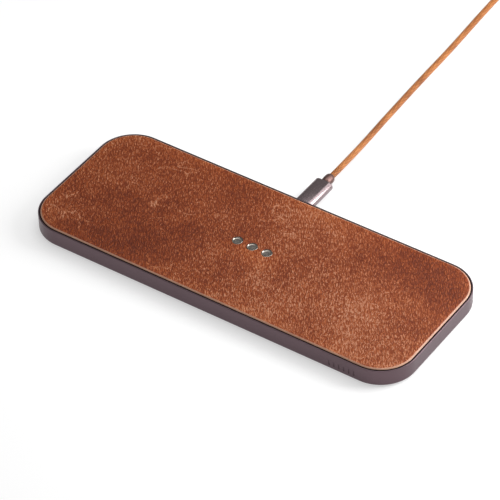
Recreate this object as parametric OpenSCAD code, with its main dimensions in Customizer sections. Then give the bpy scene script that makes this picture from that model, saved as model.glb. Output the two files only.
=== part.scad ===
// Wireless charging pad for two phones: a leather-topped plate in an aluminium frame,
// with charging coils inside and a braided USB-C lead that plugs into its rear wall.
// X runs along the pad, +Y points to the port, +Z is up and z = 0 is the table.

/* [Pad] */
// Length of the pad, along X
pad_l = 235; // [225:1:250]
// Width of the pad, along Y
pad_w = 93; // [90:1:100]
// Radius of the corners seen from above
corner_r = 21; // [18:0.5:26]
// Height of the frame's rim above the table
rim_z = 10.8; // [10.6:0.1:12]
// Height of the leather above the rim
leather_proud = 0.8; // [0.4:0.1:1.2]
// Radius of the frame's rounded lower edge
under_r = 1.5; // [0.8:0.1:1.5]

/* [Leather and studs] */
// Thickness of the leather
leather_t = 1.1; // [0.8:0.1:1.4]
// Width of the open gap between rim and leather
gap_w = 0.4; // [0.3:0.1:1]
// Radius of the leather's rolled edge
leather_edge_r = 1.5; // [0.6:0.1:1.5]
// Radius of a stud
stud_r = 3; // [2:0.1:3.5]
// Distance between the studs
stud_pitch = 9.4; // [8:0.1:12]

/* [Charging coils] */
// Outer radius of a coil
coil_r = 24; // [20:1:24]
// Inner radius of a coil
coil_bore_r = 9.5; // [8:0.5:12]
// Distance between neighbouring coil centres
coil_pitch = 40; // [38:1:41]
// Turns of wire that a coil shows
coil_turns = 12; // [6:1:14]

/* [Port and plug] */
// Height of the port's centre above the table
port_z = 5.2; // [5.1:0.1:5.4]
// Width of the plug's metal shell
plug_w = 11.3; // [10.5:0.1:12.5]
// Thickness of the plug's metal shell
plug_t = 5.9; // [5.5:0.1:6.5]
// Length of the plug's metal shell
plug_l = 22.8; // [18:0.1:26]
// Length of the ball-shaped strain relief
relief_l = 7; // [5:0.5:9]

/* [Cord] */
// Diameter of the braided cord
cord_d = 3.5; // [3:0.1:3.6]
// Radius of the wound coil at the middle of its turns
wound_r = 19.6; // [19:0.1:21]

/* [Hidden] */
$fn = 64;
eps = 0.01;

// heights of the layers, from the table up
base_z = 0.6;
base_t = 1.4;
floor_z = base_z + base_t;
top_z = rim_z + leather_proud;
plate_z = top_z - leather_t;
deck_t = 1.2;
deck_z = plate_z - deck_t;
flange_t = 1.2;
ledge_z = rim_z - 3;
coil_t = 1;
upper_coil_z = deck_z - coil_t;
lower_coil_z = upper_coil_z - coil_t;
ferrite_t = 1.2;
ferrite_z = lower_coil_z - ferrite_t;
carrier_t = 0.8;
carrier_z = ferrite_z - carrier_t;

// distances in from the frame's outer face
rim_t = 0.7;
slack = 0.1;
leather_in = rim_t + gap_w;
deck_in = leather_in + leather_t;
deck_wall = 3;
skirt_t = 2.6;
ledge_in = 4.2;
top_chamfer = 0.25;

// studs
shank_r = 1.2;
shank_l = 1;
dish_r = 6.2;
dish_depth = 0.6;

// grip ring and screws
grip_in = 7;
grip_w = 6;
grip_t = 1.2;
screw_xs = [-98, 0, 98];
screw_y = 31;
screw_r = 0.9;
screw_l = 5;
screw_hole_r = 1.1;
head_r = 1.9;
head_t = 0.7;
head_recess_r = 2.1;
head_recess = 0.8;
boss_r = 2.4;
pilot_r = 0.95;

// board
board_t = 1;
board_top = port_z - 1.625; // the socket's underside lies on the board
board_z = board_top - board_t;
board_l = 172;
board_y0 = 27;
board_y1 = 42;
tab_w = 13;
tab_y1 = 45.1;
notch_w = 14;
notch_y0 = pad_w / 2 - 5;
port_wall = 1.2;
port_w = 9.6;
port_h = 3.75;
post_r = 1.9;
board_screws_at = [[-71, 38], [-18, 30.5], [18, 30.5], [71, 38]];
board_screw_r = 0.8;

// USB-C socket and nose, centred on their axis
socket_w = 8.6;
socket_h = 2.75;
socket_wall = 0.25;
socket_front = pad_w / 2 - 0.4;
socket_l = 7.3;
socket_back_l = 1.3;
tongue_w = 6.6;
tongue_h = 0.7;
nose_w = 8.25;
nose_h = 2.4;
nose_l = 6.65;
nose_wall = 0.3;
slot_w = 6.95;
slot_h = 1.05;
slot_l = 5.9;
plug_y = pad_w / 2 + 0.5;

// engraved row of plain strokes on the front wall
mark_x = 86.3;
mark_z = 5;
mark_n = 6;
mark_pitch = 3;
mark_w = 0.8;
mark_h = 3.2;
mark_depth = 0.2;

// wires, tiles and carrier
wire_r = 0.4;
wire_x = 4;
tile_l = 68;
tile_pitch = tile_l + 1;
carrier_l = 208;
carrier_w = 52;
leg_r = 2;

// cord
cord_r = cord_d / 2;
turn = cord_d + 0.1;
rows = 4;
wound_x = 16;
wound_y = 300;
wound_in = wound_r - (rows / 2 - 0.5) * turn - cord_r;
wound_out = wound_r + (rows / 2 - 0.5) * turn + cord_r;
wound_h = cord_d + (rows - 1) * turn;
tie_w = 10;
tie_t = 0.9;
tie_angle = -35;
far_plug_z = plug_t / 2;
tail_y = wound_y + wound_r + turn / 2;

// the stretch from the plug's strain relief to where the cord joins its wound turns
lead_route = [
    [0, 76.8, 5.2], [0, 82, 5.2], [-0.2, 88, 5], [-0.7, 95, 4.4], [-1.4, 103, 3.5],
    [-2.2, 111, 2.6], [-2.9, 119, 2], [-3.5, 128, 1.75], [-4, 138, 1.75], [-4.4, 148, 1.75],
    [-4.8, 158, 1.75], [-5.2, 168, 1.75], [-5.5, 178, 1.75], [-5.8, 188, 1.75],
    [-6, 198, 1.75], [-6.3, 208, 1.75], [-6.7, 218, 1.75], [-7.2, 228, 1.75],
    [-7.7, 238, 1.75], [-8.2, 248, 1.75], [-8.6, 258, 1.75], [-8.9, 268, 1.75],
    [-9, 277, 1.75], [-9, 285, 1.75], [-9, 292, 1.75]
];
// the free end, from the top of the wound turns down to the far plug
tail_route = [
    [28, 321.4, 12.55], [32, 321.4, 12.4], [37, 321.4, 11.6], [43, 321.4, 9.9],
    [49, 321.4, 7.8], [55, 321.4, 5.7], [61, 321.4, 4.1], [67, 321.4, 3.2],
    [72, 321.4, 2.95], [77, 321.4, 2.95]
];
far_plug_x = 77 + relief_l + plug_l;

// ---- shapes that repeat ----

// Rounded rectangle seen from above, shrunk by d on every side.
module outline(d = 0) {
    l = pad_l - 2 * d;
    w = pad_w - 2 * d;
    r = corner_r - d;
    square([l - 2 * r, w], center = true);
    square([l, w - 2 * r], center = true);
    for (x = [-1, 1], y = [-1, 1])
        translate([x * (l / 2 - r), y * (w / 2 - r)]) circle(r);
}

// A flat slab of the pad's outline, d in from the frame's outer face.
module slab(d, z, t) {
    translate([0, 0, z]) linear_extrude(t) outline(d);
}

// Sweeps a profile round the outline shrunk by d. In the profile, x = 0 is the outer
// edge, x < 0 is further in, and y is the height.
module swept(d = 0) {
    l = pad_l - 2 * d;
    w = pad_w - 2 * d;
    r = corner_r - d;
    for (c = [[1, 1, 0], [-1, 1, 90], [-1, -1, 180], [1, -1, 270]])
        translate([c.x * (l / 2 - r), c.y * (w / 2 - r), 0]) rotate([0, 0, c.z])
            rotate_extrude(angle = 90) translate([r, 0]) children();
    for (a = [0, 180]) rotate([0, 0, a]) {
        translate([l / 2 - r, -w / 2, 0]) rotate([90, 0, -90])
            linear_extrude(l - 2 * r) children();
        translate([l / 2, w / 2 - r, 0]) rotate([90, 0, 0])
            linear_extrude(w - 2 * r) children();
    }
}

// Round-sided bar with its axis along Y, from y = 0 to y = l.
module stadium_bar(w, h, l) {
    translate([0, l, 0]) rotate([90, 0, 0]) linear_extrude(l) {
        square([w - h, h], center = true);
        for (x = [-1, 1]) translate([x * (w - h) / 2, 0]) circle(h / 2, $fn = 32);
    }
}

// Metal inlay with a dished face, flush with the leather, and a short shank.
module stud(x) {
    color("#8f8a84") translate([x, 0, 0]) rotate_extrude() {
        difference() {
            translate([0, plate_z]) square([stud_r, leather_t]);
            translate([0, top_z + dish_r - dish_depth]) circle(dish_r);
        }
        translate([0, plate_z - shank_l]) square([shank_r, shank_l + eps]);
    }
}

// Flat spiral-wound coil: a thin disc with one ridge for each turn of wire.
module charging_coil(x, z) {
    pitch = (coil_r - coil_bore_r) / coil_turns;
    color("#b06a34") translate([x, 0, z]) rotate_extrude() {
        translate([coil_bore_r, 0]) square([coil_r - coil_bore_r, coil_t - 0.3]);
        for (i = [0:coil_turns - 1])
            translate([coil_bore_r + i * pitch, 0]) square([pitch * 0.8, coil_t]);
    }
}

module ferrite(x) {
    color("#3a3a3e") translate([x - tile_l / 2, -carrier_w / 2, ferrite_z])
        cube([tile_l, carrier_w, ferrite_t]);
}

// Countersunk or pan screw standing on its head, axis up.
module screw(shank_r, shank_l, cap_r, cap_t) {
    difference() {
        union() {
            cylinder(h = cap_t, r = cap_r);
            cylinder(h = cap_t + shank_l, r = shank_r);
        }
        for (a = [0, 90]) rotate([0, 0, a])
            translate([-cap_r * 0.6, -0.2, -eps]) cube([cap_r * 1.2, 0.4, 0.35]);
    }
}

module chip(x, y, l, w, h) {
    translate([x - l / 2, y - w / 2, board_top]) cube([l, w, h]);
}

module controller(x) {
    color("#26262a") chip(x, 36, 7, 7, 0.9);
}

module inductor(x) {
    color("#4a4a4e") difference() {
        chip(x, 35, 7, 7, 3);
        for (sx = [-1, 1], sy = [-1, 1])
            translate([x + sx * 3.5, 35 + sy * 3.5, board_top - eps])
                rotate([0, 0, 45]) cube([1.4, 1.4, 8], center = true);
    }
}

// The plug's four pieces have their axis along Y: the shell's front face is at y = 0,
// the nose points to -Y and the cord leaves at +Y.
module nose() {
    color("#c9c7c4") difference() {
        translate([0, -nose_l, 0]) stadium_bar(nose_w, nose_h, nose_l);
        translate([0, -nose_l - 1, 0])
            stadium_bar(nose_w - 2 * nose_wall, nose_h - 2 * nose_wall, nose_l + 2);
    }
}

module nose_insert() {
    color("#2a2a2c") difference() {
        translate([0, -nose_l + 0.2, 0])
            stadium_bar(nose_w - 2 * nose_wall, nose_h - 2 * nose_wall, nose_l - 0.2);
        translate([-slot_w / 2, -nose_l - 1, -slot_h / 2]) cube([slot_w, slot_l + 1, slot_h]);
    }
}

module overmould() {
    color("#5d4f54") stadium_bar(plug_w, plug_t, plug_l);
}

module relief() {
    end_r = 2;
    color("#7c656a") translate([0, plug_l, 0]) rotate([-90, 0, 0]) rotate_extrude()
        intersection() {
            translate([0, relief_l / 2]) circle(norm([relief_l / 2, end_r]));
            square([plug_t / 2 - 0.05, relief_l]);
        }
}

// Sends a plug to the pad's port, or to the cord's far end with its nose towards +X.
module at_port() {
    translate([0, plug_y, port_z]) children();
}

module at_far_end() {
    translate([far_plug_x, tail_y, far_plug_z]) rotate([0, 0, 90]) children();
}

// ---- cord: one tube swept along a route ----

function unit(v) = v / norm(v);
function direction(p, i) = unit(p[min(i + 1, len(p) - 1)] - p[max(i - 1, 0)]);
function ring(p, i, r, n) =
    let (t = direction(p, i), s = unit(cross(t, [0, 0, 1])), u = cross(s, t))
    [for (k = [0:n - 1]) p[i] + r * (cos(360 * k / n) * s + sin(360 * k / n) * u)];

module tube(route, r, n = 8) {
    m = len(route);
    polyhedron(
        points = [for (i = [0:m - 1]) each ring(route, i, r, n)],
        faces = concat(
            [[for (k = [0:n - 1]) n - 1 - k]],
            [for (i = [0:m - 2], k = [0:n - 1])
                [i * n + k, i * n + (k + 1) % n, (i + 1) * n + (k + 1) % n, (i + 1) * n + k]],
            [[for (k = [0:n - 1]) (m - 1) * n + k]]
        )
    );
}

// ---- the pad ----

module leather_top() {
    color("#8a4a2e") difference() {
        union() {
            slab(leather_in + max(leather_edge_r, leather_t), plate_z, leather_t);
            swept(leather_in) difference() {
                union() {
                    translate([-leather_t, rim_z - 1.8]) square([leather_t, top_z - rim_z + 1.8]);
                    translate([-max(leather_edge_r, leather_t), plate_z])
                        square([max(leather_edge_r, leather_t), leather_t]);
                }
                translate([-leather_edge_r, top_z - leather_edge_r]) difference() {
                    square(leather_edge_r + eps);
                    circle(leather_edge_r);
                }
            }
        }
        for (x = [-1, 0, 1]) translate([x * stud_pitch, 0, plate_z - eps])
            cylinder(h = leather_t + 1, r = stud_r + 0.03);
    }
}

module top_plate() {
    color("#1c1c1e") difference() {
        union() {
            difference() {
                union() {
                    slab(rim_t + slack, ledge_z, flange_t);
                    slab(deck_in, ledge_z, plate_z - ledge_z);
                }
                slab(deck_in + deck_wall, ledge_z - 1, deck_z - ledge_z + 1);
            }
            for (x = screw_xs, y = [-1, 1]) translate([x, y * screw_y, floor_z])
                cylinder(h = deck_z - floor_z + eps, r = boss_r);
        }
        for (x = screw_xs, y = [-1, 1]) translate([x, y * screw_y, floor_z - 1])
            cylinder(h = screw_l + 1.5, r = pilot_r);
        for (x = [-1, 0, 1]) translate([x * stud_pitch, 0, deck_z + deck_t - shank_l])
            cylinder(h = deck_t, r = shank_r + 0.03);
    }
}

module frame_profile() {
    difference() {
        union() {
            translate([-rim_t, base_z]) square([rim_t, rim_z - base_z]);
            translate([-ledge_in, floor_z]) square([ledge_in, ledge_z - floor_z]);
            translate([-skirt_t, base_z]) square([skirt_t, floor_z - base_z + 1]);
        }
        translate([-under_r, base_z + under_r]) mirror([0, 1]) difference() {
            square(under_r + eps);
            circle(under_r);
        }
        translate([0, rim_z]) rotate(45) square(top_chamfer * sqrt(2), center = true);
    }
}

module frame() {
    color("#5d4f54") difference() {
        swept() frame_profile();
        // room for the socket and the board's tab, behind a thin outer wall
        translate([-notch_w / 2, notch_y0, floor_z - 0.2])
            cube([notch_w, pad_w / 2 - port_wall - notch_y0, ledge_z - floor_z + 1]);
        translate([0, pad_w / 2 - 3, port_z]) stadium_bar(port_w, port_h, 6);
        for (i = [0:mark_n - 1])
            translate([mark_x + (i - (mark_n - 1) / 2) * mark_pitch - mark_w / 2,
                       -pad_w / 2 - 1, mark_z - mark_h / 2])
                cube([mark_w, 1 + mark_depth, mark_h]);
    }
}

module base_cover() {
    color("#232325") difference() {
        union() {
            slab(skirt_t + slack, base_z, base_t);
            for (p = board_screws_at) translate([p.x, p.y, floor_z - eps])
                cylinder(h = board_z - floor_z + eps, r = post_r);
        }
        translate([0, 0, -1]) linear_extrude(1 + grip_t) difference() {
            outline(grip_in);
            outline(grip_in + grip_w);
        }
        for (x = screw_xs, y = [-1, 1]) translate([x, y * screw_y, 0]) {
            cylinder(h = base_z + head_recess, r = head_recess_r);
            cylinder(h = floor_z + 1, r = screw_hole_r);
        }
        for (p = board_screws_at) translate([p.x, p.y, base_z + 0.7])
            cylinder(h = 3, r = board_screw_r + 0.05);
    }
}

module grip_ring() {
    color("#333336") linear_extrude(grip_t) difference() {
        outline(grip_in + 0.05);
        outline(grip_in + grip_w - 0.05);
    }
}

module cover_screws() {
    color("#9a9a9c") for (x = screw_xs, y = [-1, 1])
        translate([x, y * screw_y, base_z + head_recess - head_t])
            screw(screw_r, screw_l, head_r, head_t);
}

// ---- charging parts ----

module coil_carrier() {
    color("#d8d4c8") difference() {
        union() {
            translate([-carrier_l / 2, -carrier_w / 2, carrier_z])
                cube([carrier_l, carrier_w, carrier_t]);
            for (x = [-100, -50, 0, 50, 100], y = [-1, 1])
                translate([x, y * (carrier_w / 2 - leg_r - 1), floor_z])
                    cylinder(h = carrier_z - floor_z + eps, r = leg_r);
        }
        for (x = [-75, -25, 25, 75]) translate([x, 0, carrier_z - 1])
            cylinder(h = carrier_t + 2, r = 14);
    }
}

// One wire: straight out of a coil's rim, then down to the board.
module lead_wire(x, y_rim, z) {
    y_pad = board_y0 + 1.2;
    translate([x, y_rim, z]) rotate([-90, 0, 0]) cylinder(h = y_pad - y_rim, r = wire_r);
    translate([x, y_pad, z]) sphere(wire_r, $fn = 24);
    translate([x, y_pad, board_top]) cylinder(h = z - board_top, r = wire_r);
}

// The pair of wires of each coil leaves it wire_x to the left and right of its middle.
module coil_leads() {
    y_rim = sqrt(coil_r ^ 2 - wire_x ^ 2) + 0.05;
    color("#c98a4b") for (i = [-2:2], s = [-1, 1])
        lead_wire(i * coil_pitch + s * wire_x, y_rim,
                  (i % 2 == 0 ? lower_coil_z : upper_coil_z) + coil_t / 2);
}

module main_board() {
    color("#1f5a3a") difference() {
        union() {
            translate([-board_l / 2, board_y0, board_z])
                cube([board_l, board_y1 - board_y0, board_t]);
            translate([-tab_w / 2, board_y0, board_z])
                cube([tab_w, tab_y1 - board_y0, board_t]);
        }
        translate([0, screw_y, board_z - 1]) cylinder(h = 3, r = boss_r + 0.3);
        for (p = board_screws_at) translate([p.x, p.y, board_z - 1])
            cylinder(h = 3, r = board_screw_r + 0.1);
    }
}

module bridge_chips() {
    color("#26262a") for (x = [-32, -25, 25, 32]) chip(x, 37, 5, 5, 0.9);
}

module tuning_capacitors() {
    color("#b9a27c") for (s = [-1, 1], i = [0:3], j = [0, 1])
        chip(s * (51 + j * 4.4), 31 + i * 2.9, 3.2, 2.3, 1.8);
}

module thermal_sensors() {
    color("#2c6db0") for (x = [-1, 1]) translate([x * coil_pitch, 0, ferrite_z + ferrite_t])
        cylinder(h = deck_z - ferrite_z - ferrite_t, r = 1.4);
}

module board_screws() {
    color("#9a9a9c") for (p = board_screws_at)
        translate([p.x, p.y, board_top + 0.7]) rotate([180, 0, 0])
            screw(board_screw_r, board_t + 1.1, 1.5, 0.7);
}

// ---- port ----

module socket_shell() {
    w = socket_w + 2 * socket_wall;
    h = socket_h + 2 * socket_wall;
    color("#b8b8ba") difference() {
        translate([0, socket_front - socket_l, port_z]) stadium_bar(w, h, socket_l);
        translate([0, socket_front - socket_l - 1, port_z])
            stadium_bar(socket_w, socket_h, socket_l + 2);
    }
}

module socket_insert() {
    back = socket_front - socket_l;
    color("#1a1a1c") {
        translate([0, back, port_z]) stadium_bar(socket_w, socket_h, socket_back_l);
        translate([-tongue_w / 2, back + 0.5, port_z - tongue_h / 2])
            cube([tongue_w, 5.6, tongue_h]);
    }
}

// ---- wound cord ----

module cord_coil() {
    color("#c9783a") translate([wound_x, wound_y, 0]) rotate_extrude()
        translate([wound_in, 0]) square([wound_out - wound_in, wound_h]);
}

module cord_tie() {
    mid = (wound_in + wound_out) / 2;
    half = (wound_out - wound_in) / 2;
    color("#3d2f2b") translate([wound_x, wound_y, 0]) rotate([0, 0, tie_angle])
        translate([mid, 0, 0]) difference() {
            translate([-half - tie_t, -tie_w / 2, 0])
                cube([2 * (half + tie_t), tie_w, wound_h + tie_t]);
            translate([-half, -tie_w / 2 - 1, tie_t])
                cube([2 * half, tie_w + 2, wound_h - tie_t]);
        }
}

leather_top();
top_plate();
frame();
base_cover();
grip_ring();
cover_screws();
stud(-stud_pitch);  // stud_left
stud(0);  // stud_middle
stud(stud_pitch);  // stud_right
charging_coil(-2 * coil_pitch, lower_coil_z);  // coil_left_outer
charging_coil(-coil_pitch, upper_coil_z);  // coil_left_inner
charging_coil(0, lower_coil_z);  // coil_middle
charging_coil(coil_pitch, upper_coil_z);  // coil_right_inner
charging_coil(2 * coil_pitch, lower_coil_z);  // coil_right_outer
ferrite(-tile_pitch);  // ferrite_left
ferrite(0);  // ferrite_middle
ferrite(tile_pitch);  // ferrite_right
coil_carrier();
coil_leads();
main_board();
controller(-45);  // controller_left
controller(45);  // controller_right
bridge_chips();
tuning_capacitors();
inductor(-64);  // inductor_left
inductor(64);  // inductor_right
thermal_sensors();
board_screws();
socket_shell();
socket_insert();
at_port() nose();  // plug_nose
at_port() nose_insert();  // plug_insert
at_port() overmould();  // plug_shell
at_port() relief();  // plug_relief
color("#c9783a") tube(lead_route, cord_r);  // cord_lead
cord_coil();
color("#c9783a") tube(tail_route, cord_r);  // cord_tail
cord_tie();
at_far_end() nose();  // far_plug_nose
at_far_end() nose_insert();  // far_plug_insert
at_far_end() overmould();  // far_plug_shell
at_far_end() relief();  // far_plug_relief
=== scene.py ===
# %% [markdown]
# # A leather-topped charging pad for two phones
# An aluminium frame holds a black plastic deck with a piece of saddle leather stretched
# over it. Three small metal studs mark the middle, and a braided lead with a small metal
# plug goes into the rear wall. The engineering model already holds every size, so
# this script loads it as a fixed frame and builds the surfaces that a person sees and
# touches around it. Each step says what the piece is on the real object first.

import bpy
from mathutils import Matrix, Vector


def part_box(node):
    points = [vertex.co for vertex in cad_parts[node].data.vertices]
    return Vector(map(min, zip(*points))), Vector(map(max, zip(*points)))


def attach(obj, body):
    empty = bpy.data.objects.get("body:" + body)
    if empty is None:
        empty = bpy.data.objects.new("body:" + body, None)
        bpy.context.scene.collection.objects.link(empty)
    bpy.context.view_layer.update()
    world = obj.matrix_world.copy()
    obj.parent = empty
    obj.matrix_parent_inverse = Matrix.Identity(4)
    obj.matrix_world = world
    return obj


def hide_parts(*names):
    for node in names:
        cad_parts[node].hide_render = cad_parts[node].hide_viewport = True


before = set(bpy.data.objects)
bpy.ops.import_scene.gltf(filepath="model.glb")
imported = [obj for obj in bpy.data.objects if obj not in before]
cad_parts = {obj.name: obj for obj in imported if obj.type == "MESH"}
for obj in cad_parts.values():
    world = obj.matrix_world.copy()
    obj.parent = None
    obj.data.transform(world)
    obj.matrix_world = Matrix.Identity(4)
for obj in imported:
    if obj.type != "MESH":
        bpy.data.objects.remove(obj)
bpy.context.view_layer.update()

# %% Tools and shared sizes
import math

import bmesh
import bpy
import numpy as np
from mathutils import Matrix, Vector, noise
from mathutils.geometry import delaunay_2d_cdt

MM = 0.001
frame_low, frame_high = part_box("frame")
half_length = frame_high.x
half_width = frame_high.y
corner_radius = 21 * MM
base_z = frame_low.z
rim_z = frame_high.z
leather_top_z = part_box("leather_top")[1].z
leather_skirt_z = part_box("leather_top")[0].z
leather_inset = half_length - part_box("leather_top")[1].x
leather_thickness = 1.1 * MM
leather_roll = 1.5 * MM
print(f"pad {2 * half_length:.3f} x {2 * half_width:.3f} m, leather inset {leather_inset:.4f} m")

# %% [markdown]
# ## The camera
# The pad is seen from its front right, from about forty degrees above the table. A long
# lens from far away keeps its long sides almost parallel. The eye's place is worked out
# from a direction and a distance, and the horizon is tilted by a small roll.

# %% Place the camera
def add_object(name, data):
    """Puts a new object into the scene, at the origin."""
    added = bpy.data.objects.new(name, data)
    bpy.context.collection.objects.link(added)
    return added


view_azimuth = math.radians(35.26)
view_elevation = math.radians(41.60)
view_roll = math.radians(-1.69)
view_target = Vector((-7.0, 7.8, 0)) * MM
view_distance = 1.7016
back = Vector((
    math.sin(view_azimuth) * math.cos(view_elevation),
    -math.cos(view_azimuth) * math.cos(view_elevation),
    math.sin(view_elevation),
))
right = Vector((math.cos(view_azimuth), math.sin(view_azimuth), 0))
up = back.cross(right)
rolled_right = right * math.cos(view_roll) + up * math.sin(view_roll)
rolled_up = back.cross(rolled_right)
camera = add_object("camera", bpy.data.cameras.new("camera"))
camera.data.lens = 229.5
camera.data.sensor_width = 36
camera.data.clip_end = 20
view_axes = Matrix((rolled_right, rolled_up, back)).transposed().to_4x4()
camera.matrix_world = Matrix.Translation(view_target + view_distance * back) @ view_axes
bpy.context.scene.camera = camera
print("camera stands at", [round(v, 3) for v in camera.matrix_world.translation])

# %% [markdown]
# ## A short way to write materials
# A finish is a small network of nodes. Writing it as sums is easier to read, so one
# class wraps a node's output and gives it the arithmetic signs, and another puts any
# other kind of node into the tree. The same two classes write the Geometry Nodes trees.

# %% Node sums
class Value:
    """A node's output. Arithmetic on it adds Math nodes to the same tree."""

    def __init__(self, graph, socket):
        self.graph = graph
        self.socket = socket

    def __add__(self, other):
        return self.graph.math("ADD", self, other)

    def __radd__(self, other):
        return self.graph.math("ADD", other, self)

    def __sub__(self, other):
        return self.graph.math("SUBTRACT", self, other)

    def __rsub__(self, other):
        return self.graph.math("SUBTRACT", other, self)

    def __mul__(self, other):
        return self.graph.math("MULTIPLY", self, other)

    def __rmul__(self, other):
        return self.graph.math("MULTIPLY", other, self)

    def __truediv__(self, other):
        return self.graph.math("DIVIDE", self, other)


# %% Node trees
class Graph:
    """A node tree, and the one way that nodes get into it."""

    def __init__(self, tree):
        self.tree = tree

    def add(self, kind, settings=None, inputs=None, output=0):
        node = self.tree.nodes.new(kind)
        for key, value in (settings or {}).items():
            setattr(node, key, value)
        for key, value in (inputs or {}).items():
            if isinstance(value, Value):
                self.tree.links.new(value.socket, node.inputs[key])
            else:
                node.inputs[key].default_value = value
        return Value(self, node.outputs[output]) if node.outputs else None

    def math(self, operation, *terms):
        return self.add("ShaderNodeMath", {"operation": operation}, dict(enumerate(terms)))

    def ramp(self, factor, stops):
        """A colour ramp with (place, colour) stops, the colours as linear (r, g, b)."""
        result = self.add("ShaderNodeValToRGB", None, {"Fac": factor})
        elements = result.socket.node.color_ramp.elements
        while len(elements) < len(stops):
            elements.new(0.5)
        for element, (place, colour) in zip(elements, stops):
            element.position = place
            element.color = (*colour, 1)
        return result

    def smooth_step(self, value, start, end):
        """0 below start, 1 above end, and a soft change between them."""
        return self.add(
            "ShaderNodeMapRange", {"interpolation_type": "SMOOTHSTEP"},
            {"Value": value, "From Min": start, "From Max": end},
        )

    def mix(self, factor, first, second):
        """A mix of two colours, given as sockets or as linear (r, g, b)."""
        colours = [c if isinstance(c, Value) else (*c, 1) for c in (first, second)]
        return self.add(
            "ShaderNodeMix", {"data_type": "RGBA"},
            {0: factor, 6: colours[0], 7: colours[1]}, output=2,
        )

    def noise(self, place, size, detail=3.0, roughness=0.5, distortion=0.0):
        """Cloudy noise from 0 to 1 with features of about the size, in metres."""
        return self.add(
            "ShaderNodeTexNoise", None,
            {"Vector": place, "Scale": 1 / size, "Detail": detail,
             "Roughness": roughness, "Distortion": distortion},
        )

    def place(self):
        """Where a point of the piece is, in metres."""
        return self.add("ShaderNodeTexCoord", output="Object")

    def part(self, vector, axis):
        """One of a vector's three numbers."""
        return self.add("ShaderNodeSeparateXYZ", None, {"Vector": vector}, axis)

    def vector(self, **parts):
        """A vector from its numbers X, Y and Z. What isn't given is 0."""
        return self.add("ShaderNodeCombineXYZ", None, parts)

    def vector_math(self, operation, inputs):
        return self.add("ShaderNodeVectorMath", {"operation": operation}, inputs)


# %% Finish a material
def new_material(name):
    """An empty material and the graph of its tree."""
    material = bpy.data.materials.new(name)
    material.use_nodes = True
    material.node_tree.nodes.clear()
    return material, Graph(material.node_tree)


def shaded(colour, factor):
    """A lighter or darker version of a colour."""
    return tuple(min(1, factor * c) for c in colour)


def finish_material(graph, height=None, depth=0.0, **sockets):
    """Adds the surface shader. height is the relief, which stands depth metres high."""
    if height is not None:
        sockets["Normal"] = graph.add(
            "ShaderNodeBump", None, {"Height": height, "Distance": depth, "Strength": 1.0})
    named = {key.replace("_", " "): value for key, value in sockets.items()}
    surface = graph.add("ShaderNodeBsdfPrincipled", None, named)
    graph.add("ShaderNodeOutputMaterial", None, {"Surface": surface})


# %% [markdown]
# ## The braided cord
# The lead is a braid of tan yarn over round wires, 3.5 mm thick. It leaves the plug
# level, sinks to the table within a few centimetres and runs straight back. The rest
# is wound into a round coil of four rows, held by a strap, and the far plug lies beside
# it. On a bench it would be wound round a spool, one turn beside the other. Here a loop
# does that: each turn keeps its own place in a row, and in the last third of the turn
# every turn slides over to the next place, so that no two ever cross.

# %% Where the cord runs
cord_diameter = 3.5 * MM
cord_radius = cord_diameter / 2
lead_route = [
    (0, 76.8, 5.2), (0, 82, 5.2), (-0.2, 88, 5), (-0.7, 95, 4.4), (-1.4, 103, 3.5),
    (-2.2, 111, 2.6), (-2.9, 119, 2),
]
on_table = [
    (-3.5, 128), (-4, 138), (-4.4, 148), (-4.8, 158), (-5.2, 168), (-5.5, 178), (-5.8, 188),
    (-6, 198), (-6.3, 208), (-6.7, 218), (-7.2, 228), (-7.7, 238), (-8.2, 248), (-8.6, 258),
    (-8.9, 268), (-9, 277), (-9, 285), (-9, 292),
]
lead_route += [(x, y, 1.75) for x, y in on_table]
off_the_coil = [
    (28, 12.55), (32, 12.4), (37, 11.6), (43, 9.9), (49, 7.8), (55, 5.7), (61, 4.1), (67, 3.2),
    (72, 2.95), (77, 2.95),
]
tail_route = [(x, 321.4, z) for x, z in off_the_coil]
coil_centre = (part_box("cord_coil")[0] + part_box("cord_coil")[1]) / 2
coil_middle_radius = 19.6 * MM
turn_pitch = 3.6 * MM
turn_radii = [coil_middle_radius + (k - 1.5) * turn_pitch for k in range(4)]
row_heights = [cord_radius + k * turn_pitch for k in range(4)]
full_turns = 14
tie_thickness = 0.9 * MM
tie_angle = -35


# %% Each turn's place
def places_by_turn():
    """(ring, row) of every turn: rows fill inwards and outwards in turn, bottom row first."""
    places = []
    for row in range(4):
        rings = [3, 2, 1, 0] if row % 2 == 0 else [0, 1, 2, 3]
        places += [(ring, row) for ring in rings]
    return places[:full_turns] + [(2, 3)]


def soft_ramp(share):
    """From 0 to 1 with no kink at either end."""
    return (1 - math.cos(math.pi * share)) / 2


# %% Wind the coil
def wound_points():
    """The coil's centreline, clockwise from its left side. Angles are in degrees."""
    step = 6
    last_quarter = 90
    slide_from = 235
    slide_to = 357
    bulge = 1.2 * MM
    tie_at = 180 - tie_angle
    tie_reach = 22
    lift_under_tie = 0.48 * turn_pitch
    squeezed_share = 0.93
    places = places_by_turn()
    points = []
    for degrees in range(0, full_turns * 360 + last_quarter + 1, step):
        turn, travelled = divmod(degrees, 360)
        ring, row = places[turn]
        next_ring, next_row = places[min(turn + 1, len(places) - 1)]
        share = min(max((travelled - slide_from) / (slide_to - slide_from), 0), 1)
        slide = soft_ramp(share)
        radius = turn_radii[ring] + (turn_radii[next_ring] - turn_radii[ring]) * slide
        height = row_heights[row] + (row_heights[next_row] - row_heights[row]) * slide
        if next_row != row:
            away = 1 if ring == 3 else -1
            radius += away * bulge * math.sin(math.pi * slide)
        squeeze = math.exp(-((travelled - tie_at) / tie_reach) ** 2)
        squeezed = tie_thickness + lift_under_tie + (height - cord_radius) * squeezed_share
        height += (squeezed - height) * squeeze
        angle = math.radians(180 - travelled)
        points.append(Vector((
            coil_centre.x + radius * math.cos(angle),
            coil_centre.y + radius * math.sin(angle),
            height,
        )))
    return points


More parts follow.
